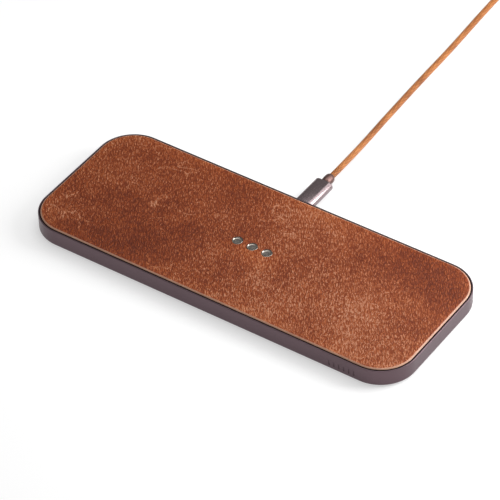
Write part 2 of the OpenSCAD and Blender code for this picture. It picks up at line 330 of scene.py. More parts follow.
def smooth_curve(points, step):
    """Points about `step` apart on a smooth curve through the given ones."""
    points = [Vector(p) for p in points]
    ends = [2 * points[0] - points[1], *points, 2 * points[-1] - points[-2]]
    curve = []
    for before, start, end, after in zip(ends, ends[1:], ends[2:], ends[3:]):
        count = max(1, round((end - start).length / step))
        for k in range(count):
            t = k / count
            curve.append(0.5 * (
                2 * start + (end - before) * t
                + (2 * before - 5 * start + 4 * end - after) * t ** 2
                + (3 * start - before - 3 * end + after) * t ** 3
            ))
    return curve + [points[-1]]


ring_gap = 2.5 * MM
wound = wound_points()
lead = smooth_curve([Vector(p) * MM for p in lead_route] + [wound[0]], ring_gap)
tail = smooth_curve([wound[-1]] + [Vector(p) * MM for p in tail_route], ring_gap)
cord_path = lead[:-1] + wound + tail[1:]
cord_steps = [(b - a).length for a, b in zip(cord_path, cord_path[1:])]
cord_length = sum(cord_steps)
print(f"cord: {cord_length:.3f} m, {len(cord_path)} rings, at least {min(cord_steps):.5f} m apart")


# %% Meshes from rings
def make_piece(name, points, faces, material=None, smooth_below=40):
    """A mesh object at the origin. Edges sharper than smooth_below degrees stay crisp."""
    mesh = bpy.data.meshes.new(name)
    mesh.from_pydata([tuple(p) for p in points], [], faces)
    shell = bmesh.new()
    shell.from_mesh(mesh)
    bmesh.ops.recalc_face_normals(shell, faces=shell.faces)
    shell.to_mesh(mesh)
    shell.free()
    mesh.shade_smooth()
    mesh.set_sharp_from_angle(angle=math.radians(smooth_below))
    piece = add_object(name, mesh)
    if material:
        mesh.materials.append(material)
    return piece


def skin(ring_count, sides, first=0):
    """Faces between rings of points that follow one another, each ring closed."""
    faces = []
    for i in range(ring_count - 1):
        for k in range(sides):
            a = first + i * sides + k
            b = first + i * sides + (k + 1) % sides
            faces.append((a, b, b + sides, a + sides))
    return faces


def stacked(rings, close_ends=True):
    """Points and faces of rings that follow one another."""
    sides = len(rings[0])
    faces = skin(len(rings), sides)
    if close_ends:
        faces.append(tuple(range(sides)))
        faces.append(tuple(range((len(rings) - 1) * sides, len(rings) * sides)))
    return [p for ring in rings for p in ring], faces


def all_round(steps):
    """Equal steps round a circle, in radians."""
    return [2 * math.pi * k / steps for k in range(steps)]


def sweep_round(centres, radius, sides):
    """Rings of points round a path that never stands upright."""
    rings = []
    for i, centre in enumerate(centres):
        along = (centres[min(i + 1, len(centres) - 1)] - centres[max(i - 1, 0)]).normalized()
        side = along.cross(Vector((0, 0, 1))).normalized()
        upward = side.cross(along)
        rings.append([
            centre + radius * (math.cos(a) * side + math.sin(a) * upward) for a in all_round(sides)
        ])
    return rings


# %% [markdown]
# ## What the braid looks like
# Sixteen flat bundles of yarn run round the wires at a slant, half of them each way,
# and pass over and under one another. The cord's own map says how far round and how
# far along a point is, so two slanted waves of that map give the two sets of bundles.
# Where both are counted, a checker tells which one lies on top.

# %% Braided yarn
def hump(graph, count):
    """A row of rounded humps, one for each whole number of count."""
    return graph.math("ABSOLUTE", graph.math("SINE", count * math.pi))


def braided_yarn():
    material, graph = new_material("tan_braid")
    bundles = 8
    bundle_length = math.pi * cord_diameter / bundles
    yarn_map = graph.add("ShaderNodeUVMap", {"uv_map": "around_and_along"})
    around = graph.part(yarn_map, "X")
    along = graph.part(yarn_map, "Y")
    first = around * bundles + along / bundle_length
    second = around * bundles - along / bundle_length
    crossing = graph.math("FLOOR", first) + graph.math("FLOOR", second)
    on_top = graph.math("GREATER_THAN", graph.math("FRACT", crossing * 0.5), 0.25)
    dip = 0.45
    first_height = hump(graph, first) * (1 - dip + dip * hump(graph, second))
    second_height = hump(graph, second) * (1 - dip + dip * hump(graph, first))
    filaments = 0.12 * hump(graph, (first * on_top + second * (1 - on_top)) * 4)
    height = first_height * on_top + second_height * (1 - on_top) + filaments
    solid = graph.place()
    cloud = graph.noise(solid, 9 * MM, detail=2)
    fuzz = graph.noise(solid, 0.35 * MM, detail=2)
    # The colour darkens down into the gaps between the bundles: painted shade.
    tone = 0.62 * height + 0.45 * (cloud - 0.5) + 0.5 * (fuzz - 0.5)
    colour = graph.ramp(tone, [
        (0.05, (0.04, 0.010, 0.002)), (0.3, (0.26, 0.070, 0.012)),
        (0.5, (0.50, 0.17, 0.038)), (0.8, (0.74, 0.33, 0.10)),
    ])
    finish_material(
        graph, height, 0.2 * MM, Base_Color=colour, Roughness=0.42 + 0.15 * fuzz,
        Specular_IOR_Level=0.4)
    return material


# %% Make the cord
def make_cord():
    sides = 16
    points, faces = stacked(sweep_round(cord_path, cord_radius, sides))
    cord = make_piece("cord", points, faces, braided_yarn())
    reached = np.concatenate([[0], np.cumsum(cord_steps)])
    layer = cord.data.uv_layers.new(name="around_and_along")
    for face in cord.data.polygons:
        turned = [cord.data.loops[i].vertex_index % sides for i in face.loop_indices]
        over_seam = max(turned) - min(turned) > sides / 2
        for i, k in zip(face.loop_indices, turned):
            ring = cord.data.loops[i].vertex_index // sides
            layer.data[i].uv = ((k + sides * (over_seam and k == 0)) / sides, reached[ring])
    return cord


cord = make_cord()
print("cord mesh:", len(cord.data.polygons), "faces")

# %% [markdown]
# ## The leather
# One piece of saddle leather, 1.1 mm thick, is glued over the deck, and its rim is
# pulled down over the deck's edge into the gap beside the frame. Three round holes are
# punched for the studs. The outline is lofted down the rolled edge as rings. The flat
# top is filled with small triangles, so that the hide can really rise and fall by a few
# hundredths of a millimetre, as a stretched hide does, and not only look as if it did.

# %% The pad's outline
def outline(inset, side_step, corner_steps=30):
    """Points of the rounded rectangle, inset from the frame's outer face, anticlockwise."""
    points = []
    for sx, sy, start in ((1, 1, 0), (-1, 1, 90), (-1, -1, 180), (1, -1, 270)):
        centre_x = sx * (half_length - corner_radius)
        centre_y = sy * (half_width - corner_radius)
        for k in range(corner_steps + 1):
            angle = math.radians(start + 90 * k / corner_steps)
            points.append((
                centre_x + (corner_radius - inset) * math.cos(angle),
                centre_y + (corner_radius - inset) * math.sin(angle),
            ))
        side = 2 * ((half_length if start in (0, 180) else half_width) - corner_radius)
        steps = round(side / side_step)
        x, y = points[-1]
        heading = math.radians(start + 180)
        for k in range(1, steps):
            points.append((
                x + math.cos(heading) * side * k / steps,
                y + math.sin(heading) * side * k / steps,
            ))
    return points


def inside_distance(x, y, inset):
    """How far a point lies inside the outline that is inset from the frame's face."""
    across = abs(x) - (half_length - corner_radius)
    deep = abs(y) - (half_width - corner_radius)
    outside = math.hypot(max(across, 0), max(deep, 0)) + min(max(across, deep), 0)
    return corner_radius - inset - outside


# %% How the hide lies
stud_names = ["stud_left", "stud_middle", "stud_right"]
stud_centres = [(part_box(name)[0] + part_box(name)[1]) / 2 for name in stud_names]
stud_radius = (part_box("stud_middle")[1].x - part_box("stud_middle")[0].x) / 2
hole_radius = stud_radius + 0.03 * MM
print(f"stud radius {stud_radius:.5f} m, hole radius {hole_radius:.5f} m")


def stud_distance(x, y):
    """How far a point lies outside the nearest stud hole."""
    return min(math.hypot(x - c.x, y - c.y) for c in stud_centres) - hole_radius


def hide_height(x, y):
    """How far the leather's top stands above or below its nominal plane."""
    edge = inside_distance(x, y, leather_inset)
    stud = stud_distance(x, y)
    swells = [(0.05, 26), (0.028, 9), (0.012, 4)]
    place = Vector((x, y, 0))
    swell = sum(height * noise.noise(place / (size * MM)) for height, size in swells)
    calm_edge = 5 * MM
    calm_stud = 2 * MM
    calm = min(max(edge / calm_edge, 0), 1) * min(max(stud / calm_stud, 0), 1)
    pulled_down = 0.15 * math.exp(-edge / (2.4 * MM))
    pressed = 0.12 * math.exp(-stud / (1.1 * MM))
    return (swell * calm - pulled_down - pressed) * MM


# %% The rolled edge
def edge_profile():
    """(inset, height) from under the deck's rim, round the skirt and up the rolled edge."""
    inner = leather_inset + leather_thickness
    lip = 0.2 * MM
    bend_start = leather_top_z - 1.2 * leather_roll
    profile = [
        (inner, leather_top_z - leather_thickness), (inner, leather_skirt_z),
        (leather_inset + lip, leather_skirt_z), (leather_inset, leather_skirt_z + lip),
        (leather_inset, bend_start),
    ]
    for degrees in range(0, 91, 10):
        angle = math.radians(degrees)
        profile.append((
            leather_inset + leather_roll * (1 - math.cos(angle)),
            leather_top_z - leather_roll * (1 - math.sin(angle)),
        ))
    return profile


# %% Fill the top
def circle(centre, radius, steps):
    return [
        (centre.x + radius * math.cos(a), centre.y + radius * math.sin(a))
        for a in all_round(steps)
    ]


def filled(rims, inner_points):
    """Triangles over everything inside the first rim and outside the other rims.
    They count the points of all rims in turn, then the inner points."""
    points = [p for rim in rims for p in rim] + inner_points
    edges = []
    first = 0
    for rim in rims:
        count = len(rim)
        edges += [(first + k, first + (k + 1) % count) for k in range(count)]
        first += count
    scaled = [Vector(p) / MM for p in points]
    found, _, triangles, sources, _, _ = delaunay_2d_cdt(scaled, edges, [], 0, 1e-5, True)
    kept = []
    for triangle in triangles:
        middle = sum((found[i] for i in triangle), Vector((0, 0))) / 3 * MM
        if all(math.hypot(middle.x - c.x, middle.y - c.y) > hole_radius for c in stud_centres):
            kept.append([sources[i][0] for i in triangle])
    return kept


def inner_grid(inset, spacing):
    """A honeycomb of points inside the outline that keeps clear of the stud holes."""
    points = []
    margin = 0.6 * spacing
    row_gap = spacing * math.sqrt(3) / 2
    rows = int(half_width / row_gap)
    columns = int(half_length / spacing)
    for row in range(-rows, rows + 1):
        for column in range(-columns, columns + 1):
            x = (column + (row % 2) / 2) * spacing
            y = row * row_gap
            if inside_distance(x, y, inset) > margin:
                if stud_distance(x, y) > 0.3 * MM + margin:
                    points.append((x, y))
    return points


# %% Make the leather
def make_leather(spacing):
    # The edge: one ring of points for each step of its profile.
    profile = edge_profile()
    skirt_steps = 4
    bend_start = profile[skirt_steps][1]
    rings = [outline(inset, spacing) for inset, _ in profile]
    count = len(rings[0])
    points = []
    for (_, height), ring in zip(profile, rings):
        rise = max(0, (height - bend_start) / (profile[-1][1] - bend_start))
        points += [(x, y, height + rise ** 3 * hide_height(x, y)) for x, y in ring]
    faces = skin(len(profile), count)

    # The stud holes: rings that turn down through the leather, as (wider by, lower by) in mm.
    lip_profile = [(0.3, 0), (0.11, -0.06), (0.02, -0.22), (0, -1.1)]
    lip_sides = 40
    lip_size = lip_sides * len(lip_profile)
    lips = [
        [circle(centre, hole_radius + widen * MM, lip_sides) for widen, _ in lip_profile]
        for centre in stud_centres
    ]
    first_lip = len(points)
    for lip in lips:
        for (_, drop), ring in zip(lip_profile, lip):
            follows = drop > -1
            height = leather_top_z + drop * MM
            points += [(x, y, height + follows * hide_height(x, y)) for x, y in ring]
    for k in range(len(lips)):
        faces += skin(len(lip_profile), lip_sides, first_lip + k * lip_size)

    # The top and the underside, which join the edge's rings and the holes' rings.
    inner = inner_grid(profile[-1][0], spacing)
    first_inner = len(points)
    points += [(x, y, leather_top_z + hide_height(x, y)) for x, y in inner]

    last_ring = (len(profile) - 1) * count
    top_index = list(range(last_ring, last_ring + count))
    bottom_index = list(range(count))
    for k in range(len(lips)):
        start = first_lip + k * lip_size
        top_index += range(start, start + lip_sides)
        bottom_index += range(start + lip_size - lip_sides, start + lip_size)
    top_index += range(first_inner, first_inner + len(inner))
    top_faces = filled([rings[-1]] + [lip[0] for lip in lips], inner)
    bottom_faces = filled([rings[0]] + [lip[-1] for lip in lips], [])
    faces += [tuple(top_index[i] for i in face) for face in top_faces]
    faces += [tuple(bottom_index[i] for i in reversed(face)) for face in bottom_faces]
    return make_piece("leather", points, faces, smooth_below=60)


leather = make_leather(1.25 * MM)
print("leather:", len(leather.data.polygons), "faces")

# %% [markdown]
# ## Saddle leather as a finish
# Pull-up leather is dyed through and waxed. It is never one brown: broad clouds show
# how the hide took the dye, the fine grain is dark in its creases and paler on its
# ridges, where wear and painted glints lighten it, and wherever the hide was bent or
# stretched the wax moves away and leaves a lighter, more orange tone. That happens along
# the rolled edge and round the studs, so those places are marked on the mesh, and the
# finish reads the mark. Along the top of the roll the pale tone is also a painted highlight.

# %% Mark the stretched places
def mark_stretched(piece):
    """Gives each point of the leather a value from 0, slack, to 1, stretched."""
    mark = piece.data.attributes.new("stretched", "FLOAT", "POINT")
    edge_reach = 4.5 * MM
    roll_reach = 1.7 * MM
    most_on_top = 0.8
    for vertex, item in zip(piece.data.vertices, mark.data):
        x, y, _ = vertex.co
        edge = inside_distance(x, y, leather_inset)
        along_edge = 0.5 + 0.5 * noise.noise(Vector((x, y, 0)) / (17 * MM))
        at_edge = math.exp(-edge / edge_reach) * (0.3 + 0.7 * along_edge)
        # The top of the rolled edge counts as fully stretched: it is worn pale and also carries a
        # painted highlight.
        roll_wear_and_highlight = math.exp(-(edge / roll_reach) ** 4)
        below = Vector((x - 3 * MM, y + 5.5 * MM))
        at_studs = math.exp(-((below.x / (14 * MM)) ** 2 + (below.y / (7 * MM)) ** 2))
        item.value = max(min(most_on_top, at_edge + 0.75 * at_studs), roll_wear_and_highlight)


# %% Saddle leather
def thin_line(graph, cloud, width):
    """1 along the lines where a cloudy noise passes its middle, 0 beside them."""
    return 1 - graph.smooth_step(graph.math("ABSOLUTE", cloud - 0.5), 0.0, width)


def saddle_leather():
    material, graph = new_material("saddle_leather")
    solid = graph.place()
    stretched = graph.add("ShaderNodeAttribute", {"attribute_name": "stretched"}, output="Fac")
    along = graph.part(solid, "X")
    across = graph.part(solid, "Y")
    height = graph.part(solid, "Z")
    # Clouds of dye, smaller patches and pores.
    cloud = graph.noise(solid, 50 * MM, detail=5, roughness=0.62, distortion=0.8)
    patch = graph.noise(solid, 9 * MM, detail=5, roughness=0.65)
    pores = graph.noise(solid, 0.5 * MM, detail=2)

    # The grain: cells and ridges drawn out along the hide, in slightly bent rows.
    bend_size = 4.2 * MM
    bend_by = 1.3 * MM
    grain_angle = math.radians(122)
    grain_stretch = 3.4
    cell_size = 1.15 * MM
    bend = graph.add("ShaderNodeTexNoise", None, {"Vector": solid, "Scale": 1 / bend_size}, "Color")
    bent = graph.vector_math("MULTIPLY_ADD", {0: bend, 1: (bend_by,) * 3, 2: solid})
    combed = graph.add("ShaderNodeMapping", {"vector_type": "TEXTURE"}, {
        "Vector": bent, "Rotation": (0, 0, grain_angle), "Scale": (grain_stretch, 1.0, 1.0)})
    wrinkle = graph.noise(combed, 1.25 * MM, detail=1)
    to_crease = graph.add(
        "ShaderNodeTexVoronoi", {"feature": "DISTANCE_TO_EDGE"},
        {"Vector": combed, "Scale": 1 / cell_size}, "Distance")
    crease = 1 - graph.smooth_step(to_crease, 0.0, 0.25)
    ridge = thin_line(graph, wrinkle, 0.08)
    # Pale ridge tops: worn grain and painted glints, stronger where the painted light is brighter.
    ridge_wear_and_glint = ridge * graph.smooth_step(pores, 0.25, 0.6)

    # A few pale veins, most of them in the left half.
    vein_path = graph.noise(solid, 31 * MM, detail=3, roughness=0.45, distortion=1.6)
    near_vein = thin_line(graph, vein_path, 0.015)
    vein_here = graph.smooth_step(graph.noise(solid, 23 * MM, detail=1), 0.53, 0.62)
    vein_here = vein_here * (1 - 0.7 * graph.smooth_step(along, -10 * MM, 30 * MM))
    vein = near_vein * vein_here * graph.smooth_step(pores, 0.2, 0.55)

    # Painted light: the hide is made lighter towards the right, where the light falls from, and
    # darker again in its rear right corner; its far left end stays a little lighter.
    painted_light_slope = 0.14 * graph.smooth_step(along, -50 * MM, 20 * MM)
    painted_light_slope = painted_light_slope - 0.17 * graph.smooth_step(along + 1.4 * across, 60 * MM, 130 * MM)
    painted_light_slope = painted_light_slope - 0.05 * graph.smooth_step(along, -100 * MM, -60 * MM)
    tone = 0.54 + painted_light_slope + 0.68 * (cloud - 0.5) + 0.16 * (patch - 0.5) + 0.4 * (pores - 0.5)
    tone = tone + (0.34 + 0.8 * painted_light_slope) * ridge_wear_and_glint - 0.25 * crease + 0.42 * vein
    dyed = graph.ramp(tone, [
        (0.08, (0.075, 0.0100, 0.0014)), (0.34, (0.145, 0.0220, 0.0030)),
        (0.52, (0.22, 0.0405, 0.0068)), (0.70, (0.32, 0.082, 0.023)),
        (0.95, (0.47, 0.21, 0.12)),
    ])
    bright = graph.ramp(tone, [
        (0.1, (0.16, 0.022, 0.003)), (0.5, (0.32, 0.065, 0.0125)), (0.95, (0.58, 0.2, 0.07)),
    ])
    # Stretched leather is brighter, and the top of the roll is made pale: rubbed wear and a painted
    # highlight.
    hide = graph.mix(stretched * (0.35 + 0.7 * patch), dyed, bright)
    rubbed_and_highlight = graph.smooth_step(stretched, 0.8, 1.0) * (0.5 + 0.6 * patch)
    hide = graph.mix(rubbed_and_highlight, hide, (0.58, 0.35, 0.25))
    # Below the frame's rim the leather is coloured black: painted shade for the dark gap beside the
    # frame.
    painted = 1 - graph.smooth_step(height, rim_z - 0.1 * MM, rim_z + 0.15 * MM)
    colour = graph.mix(painted, hide, (0.004, 0.003, 0.003))
    grain = 0.5 * ridge + 0.2 * pores - 0.75 * crease - 0.4 * vein
    relief = grain * (1 - 0.8 * graph.smooth_step(stretched, 0.5, 1.0))
    finish_material(
        graph, relief, 0.16 * MM, Base_Color=colour,
        Roughness=0.42 + 0.12 * (patch - 0.5) + 0.15 * crease - 0.13 * stretched,
        Specular_IOR_Level=0.26)
    return material


mark_stretched(leather)
leather.data.materials.append(saddle_leather())
print("leather finish:", len(leather.data.materials[0].node_tree.nodes), "nodes")

# %% [markdown]
# ## The aluminium frame
# The frame is one ring of aluminium: the same section all the way round, so on the real
# object it could be milled, or bent from a bar and welded. Geometry Nodes are made for
# this: they draw the rounded rectangle, sweep the section along it, and cut the port and
# a row of six plain milled strokes near the front right corner.

# %% Geometry Nodes helpers
socket_types = {
    float: "NodeSocketFloat", int: "NodeSocketInt", tuple: "NodeSocketVector",
    bpy.types.Material: "NodeSocketMaterial", bpy.types.Object: "NodeSocketObject",
}


def new_tree(name, sizes):
    """A Geometry Nodes tree with named inputs, and each input as a Value."""
    tree = bpy.data.node_groups.new(name, "GeometryNodeTree")
    for label, value in sizes.items():
        tree.interface.new_socket(
            name=label, in_out="INPUT", socket_type=socket_types[type(value)])
    tree.interface.new_socket(name="Geometry", in_out="OUTPUT", socket_type="NodeSocketGeometry")
    graph = Graph(tree)
    source = tree.nodes.new("NodeGroupInput")
    values = {label: Value(graph, source.outputs[label]) for label in sizes}
    return graph, values


def close_tree(graph, geometry, material):
    """Ends a tree: real copies instead of instances, smooth faces and the material."""
    whole = graph.add("GeometryNodeRealizeInstances", None, {"Geometry": geometry})
    smooth = graph.add("GeometryNodeSetShadeSmooth", None, {"Geometry": whole})
    painted = graph.add("GeometryNodeSetMaterial", None, {"Geometry": smooth, "Material": material})
    graph.add("NodeGroupOutput", None, {"Geometry": painted})


def join_shapes(graph, shapes):
    """Puts shapes together. A Join node has one socket that takes many links."""
    whole = graph.add("GeometryNodeJoinGeometry")
    for shape in shapes:
        graph.tree.links.new(shape.socket, whole.socket.node.inputs[0])
    return whole


def copies_on(graph, points, shape):
    return graph.add("GeometryNodeInstanceOnPoints", None, {"Points": points, "Instance": shape})


def cut_away(graph, shape, cutters):
    return graph.add("GeometryNodeMeshBoolean", {"operation": "DIFFERENCE", "solver": "EXACT"}, {
        "Mesh 1": shape, "Mesh 2": cutters, "Self Intersection": True})


def grow(name, graph, sizes):
    """Runs the tree with the given sizes and keeps its result as a plain mesh."""
    crisp_above = math.radians(35)
    host = add_object(name + "_host", bpy.data.meshes.new(name + "_host"))
    modifier = host.modifiers.new("grow", "NODES")
    modifier.node_group = graph.tree
    for item in graph.tree.interface.items_tree:
        if item.in_out == "INPUT":
            modifier[item.identifier] = sizes[item.name]
    shown = host.evaluated_get(bpy.context.evaluated_depsgraph_get())
    mesh = bpy.data.meshes.new_from_object(shown)
    host.modifiers.clear()
    bpy.data.objects.remove(host)
    mesh.name = name
    mesh.set_sharp_from_angle(angle=crisp_above)
    print(f"{name}: {len(mesh.polygons)} faces")
    return add_object(name, mesh)


# %% The frame's section
def arc(centre, radius, start, end, steps=6):
    """Points of an arc, angles in degrees."""
    angles = [math.radians(start + (end - start) * k / steps) for k in range(steps + 1)]
    return [(centre[0] + radius * math.cos(a), centre[1] + radius * math.sin(a)) for a in angles]


def frame_section():
    """The ring's section: x = 0 is the outer face, x < 0 is further in, y is the height."""
    rim = 0.7 * MM
    ledge = 4.2 * MM
    skirt = 2.6 * MM
    ledge_top = 7.8 * MM
    ledge_bottom = 2.0 * MM
    under = 1.5 * MM
    outer_edge = 0.25 * MM
    inner_edge = 0.12 * MM
    return (
        arc((-under, base_z + under), under, -90, 0, 8)
        + arc((-outer_edge, rim_z - outer_edge), outer_edge, 0, 90)
        + arc((-rim + inner_edge, rim_z - inner_edge), inner_edge, 90, 180, 3)
        + [(-rim, ledge_top), (-ledge, ledge_top), (-ledge, ledge_bottom),
           (-skirt, ledge_bottom), (-skirt, base_z)]
    )


def section_object(name, points):
    """A closed line that a tree can sweep. Curve to Mesh turns it over, so it is drawn
    upside down."""
    line = bpy.data.curves.new(name, "CURVE")
    line.dimensions = "2D"
    spline = line.splines.new("POLY")
    spline.points.add(len(points) - 1)
    for point, (x, y) in zip(spline.points, reversed(points)):
        point.co = (x, -y, 0, 1)
    spline.use_cyclic_u = True
    return add_object(name, line)


# %% Anodised aluminium
def anodised(name, base, roughness):
    """Bead-blasted aluminium with a dyed oxide skin: a fine even tooth, faint clouds."""
    material, graph = new_material(name)
    solid = graph.place()
    tooth = graph.noise(solid, 0.16 * MM, detail=2)
    cloud = graph.noise(solid, 21 * MM, detail=3)
    handled = graph.noise(solid, 4 * MM, detail=3)
    shade = 0.5 + 0.5 * (cloud - 0.5) + 0.3 * (tooth - 0.5) + 0.15 * (handled - 0.5)
    colour = graph.mix(shade, shaded(base, 0.84), shaded(base, 1.18))
    finish_material(
        graph, tooth, 0.012 * MM, Base_Color=colour, Metallic=0.85,
        Roughness=roughness + 0.12 * (handled - 0.5) + 0.1 * (tooth - 0.5))
    return material


brown_anodised = anodised("brown_anodised", (0.125, 0.082, 0.094), 0.38)
print("finish made:", brown_anodised.name)


# %% Rounded bars and paths
def rounded_rectangle(graph, width, height, radius, corner_steps):
    rectangle = graph.add("GeometryNodeCurvePrimitiveQuadrilateral", None, {
        "Width": width, "Height": height})
    return graph.add("GeometryNodeFilletCurve", {"mode": "POLY"}, {
        "Curve": rectangle, "Count": corner_steps, "Radius": radius})


def slot_cutter(graph, start, end, width, height, widen=1.0):
    """A round-ended bar from start to end, to be cut away. widen opens its far end."""
    line = graph.add("GeometryNodeCurvePrimitiveLine", None, {"Start": start, "End": end})
    nearly_half = 0.499
    rounded = rounded_rectangle(
        graph, width, height, graph.math("MINIMUM", width, height) * nearly_half, 10)
    flared = graph.add("GeometryNodeSetCurveRadius", None, {
        "Curve": line,
        "Radius": 1 + (widen - 1) * graph.add("GeometryNodeSplineParameter", None, None, "Factor")})
    return graph.add("GeometryNodeCurveToMesh", None, {
        "Curve": flared, "Profile Curve": rounded, "Fill Caps": True})


# %% Sweep and cut the frame
def make_frame():
    port_z = 5.2 * MM
    section = section_object("frame_section", frame_section())
    sizes = {
        "Section": section, "Length": 2 * half_length, "Width": 2 * half_width,
        "Corner radius": corner_radius, "Corner steps": 28,
        "Port width": 9.6 * MM, "Port height": 3.75 * MM, "Port lip": 0.3 * MM,
        "Port outside": (0.0, half_width + 1 * MM, port_z),
        "Port face": (0.0, half_width, port_z),
        "Port inside": (0.0, half_width - 3 * MM, port_z),
        "Notch size": (14 * MM, 3.8 * MM, 7 * MM),
        "Notch centre": (0.0, half_width - 3.1 * MM, 5.3 * MM),
        "Stroke count": 6, "Stroke width": 0.8 * MM, "Stroke height": 3.2 * MM,
        "Stroke depth": 0.2 * MM, "Stroke step": (3 * MM, 0.0, 0.0),
        "First stroke": (78.8 * MM, -half_width, 5.0 * MM),
        "Material": brown_anodised,
    }
    graph, size = new_tree("frame_ring", sizes)
    path = rounded_rectangle(
        graph, size["Length"], size["Width"], size["Corner radius"], size["Corner steps"])
    line = graph.add("GeometryNodeObjectInfo", None, {"Object": size["Section"]}, "Geometry")
    ring = graph.add("GeometryNodeCurveToMesh", None, {"Curve": path, "Profile Curve": line})
    port = slot_cutter(
        graph, size["Port inside"], size["Port outside"], size["Port width"], size["Port height"])
    lip_reach = {0: size["Port face"], 1: graph.vector(Y=size["Port lip"])}
    lip = slot_cutter(
        graph, graph.vector_math("SUBTRACT", lip_reach), graph.vector_math("ADD", lip_reach),
        size["Port width"], size["Port height"], 1 + 4 * size["Port lip"] / size["Port width"])
    row = graph.add("GeometryNodeMeshLine", {"mode": "OFFSET"}, {
        "Count": size["Stroke count"], "Start Location": size["First stroke"],
        "Offset": size["Stroke step"]})
    stroke_end = graph.vector(Y=size["Stroke depth"])
    well_outside = -5.0
    stroke_start = graph.vector_math("SCALE", {0: stroke_end, "Scale": well_outside})
    stroke = slot_cutter(
        graph, stroke_start, stroke_end, size["Stroke width"], size["Stroke height"])
    strokes = copies_on(graph, row, stroke)
    notch = graph.add("GeometryNodeTransform", None, {
        "Geometry": graph.add("GeometryNodeMeshCube", None, {"Size": size["Notch size"]}),
        "Translation": size["Notch centre"]})
    cutters = graph.add("GeometryNodeRealizeInstances", None, {
        "Geometry": join_shapes(graph, [port, lip, notch, strokes])})
    close_tree(graph, cut_away(graph, ring, cutters), size["Material"])
    piece = grow("frame_ring", graph, sizes)
    bpy.data.objects.remove(section)
    return piece


def weighted(piece):
    """Lets the big flat faces set the shading, so that narrow rounded edges don't bleed."""
    modifier = piece.modifiers.new("weighted", "WEIGHTED_NORMAL")
    modifier.keep_sharp = True
    return piece


frame_ring = weighted(make_frame())

# %% [markdown]
# ## Studs
# Each stud is a small turned disc of nickel-plated brass with a dished face. Its shank
# goes through the deck. A lathe makes such a thing on the real object, and the same
# idea makes it here: a half section is turned round its axis.

# %% Turned pieces
def turned(name, section, centre, material, steps=64):
    """Turns (radius, height) points round an upright axis; both ends lie on the axis."""
    points = []
    for radius, height in section[1:-1]:
        points += [(x, y, height) for x, y in circle(centre, radius, steps)]
    faces = skin(len(section) - 2, steps)
    tips = [len(points), len(points) + 1]
    points += [(centre.x, centre.y, section[0][1]), (centre.x, centre.y, section[-1][1])]
    last = (len(section) - 3) * steps
    for k in range(steps):
        faces.append((tips[0], (k + 1) % steps, k))
        faces.append((tips[1], last + k, last + (k + 1) % steps))
    return make_piece(name, points, faces, material, smooth_below=35)


# %% The studs
def stud_section():
    """From the middle of the sunk face over the rim to the end of the shank."""
    depth = 0.55 * MM
    wall = 0.5 * MM
    rim_width = 0.28 * MM
    bottom = leather_top_z - leather_thickness
    shank_radius = 1.2 * MM
    shank_end = bottom - 1 * MM
    shoulder = 0.1 * MM
    face = leather_top_z - depth
    floor_radius = stud_radius - rim_width - wall
    section = [(0, face), (floor_radius * 0.6, face), (floor_radius, face)]
    section += arc((floor_radius, face + wall), wall, -75, -15, 5)
    section += [(stud_radius - rim_width, leather_top_z)]
    section += arc((stud_radius - shoulder, leather_top_z - shoulder), shoulder, 90, 0, 4)
    return section + [
        (stud_radius, bottom), (shank_radius, bottom), (shank_radius, shank_end), (0, shank_end)]


def turned_metal(name, base, roughness):
    """Bright metal with a very fine tooth and faint spots, as under a thin plating."""
    material, graph = new_material(name)
    solid = graph.place()
    spots = graph.noise(solid, 1.3 * MM, detail=3)
    fine = graph.noise(solid, 0.05 * MM, detail=1)
    colour = graph.mix(spots, shaded(base, 0.85), shaded(base, 1.12))
    finish_material(
        graph, fine, 0.004 * MM, Base_Color=colour, Metallic=1.0,
        Roughness=roughness + 0.15 * (spots - 0.5))
    return material


stud_metal = turned_metal("stud_metal", (0.40, 0.36, 0.32), 0.2)
studs = [
    turned(name + "_turned", stud_section(), centre, stud_metal)
    for name, centre in zip(stud_names, stud_centres)
]
print("studs at", [tuple(round(v, 4) for v in c) for c in stud_centres])

# %% [markdown]
# ## Plugs
# Both ends of the lead carry the same reversible plug: an anodised shell, 11.3 mm wide and
# 5.9 mm thick with fully round sides, a barrel of metal where the cord goes in, and the
# steel nose with its black insert and gold contacts. The plug is drawn once, lying along
# Y with the shell's front face at y = 0, and then placed at the port and at the far end.

# %% Plug shell
def round_bar(width, height, y, shrink=0.0, half_steps=16):
    """One ring of a round-sided bar: its outline at y, made smaller by shrink all round."""
    radius = height / 2 - shrink
    reach = (width - height) / 2
    ring = []
    for side, start in ((1, -90), (-1, 90)):
        for k in range(half_steps + 1):
            angle = math.radians(start + 180 * k / half_steps)
            ring.append((side * reach + radius * math.cos(angle), y, radius * math.sin(angle)))
    return ring


def soft_end(width, height, y, edge, way):
    """Rings from a bar's side round its edge to its end at y, which faces way: 1 or -1."""
    angles = [math.radians(degrees) for degrees in range(0, 91, 15)]
    return [
        round_bar(width, height, y - way * edge * (1 - math.sin(a)), edge * (1 - math.cos(a)))
        for a in angles
    ]


def shell_shape(width, height, length):
    """The shell: a round-sided bar whose ends have softened edges, the rear more so."""
    front = soft_end(width, height, 0, 0.35 * MM, -1)
    rear = soft_end(width, height, length, 0.6 * MM, 1)
    return stacked(front[::-1] + rear)


# %% Plug nose and barrel
def nose_shape():
    """The steel nose: a thin round-sided tube with a rolled mouth, open at the front."""
    width = 8.25 * MM
    height = 2.4 * MM
    wall = 0.3 * MM
    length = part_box("plug_nose")[1].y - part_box("plug_nose")[0].y
    roll = wall / 2
    mouth = roll - length
    rings = [round_bar(width, height, 0), round_bar(width, height, mouth)]
    for degrees in range(30, 151, 30):
        a = math.radians(degrees)
        rings.append(round_bar(width, height, mouth - roll * math.sin(a), roll * (1 - math.cos(a))))
    rings += [round_bar(width, height, mouth, wall), round_bar(width, height, 0, wall)]
    points, faces = stacked(rings, close_ends=False)
    sides = len(rings[0])
    last = (len(rings) - 1) * sides
    faces += [(k, (k + 1) % sides, last + (k + 1) % sides, last + k) for k in range(sides)]
    return points, faces


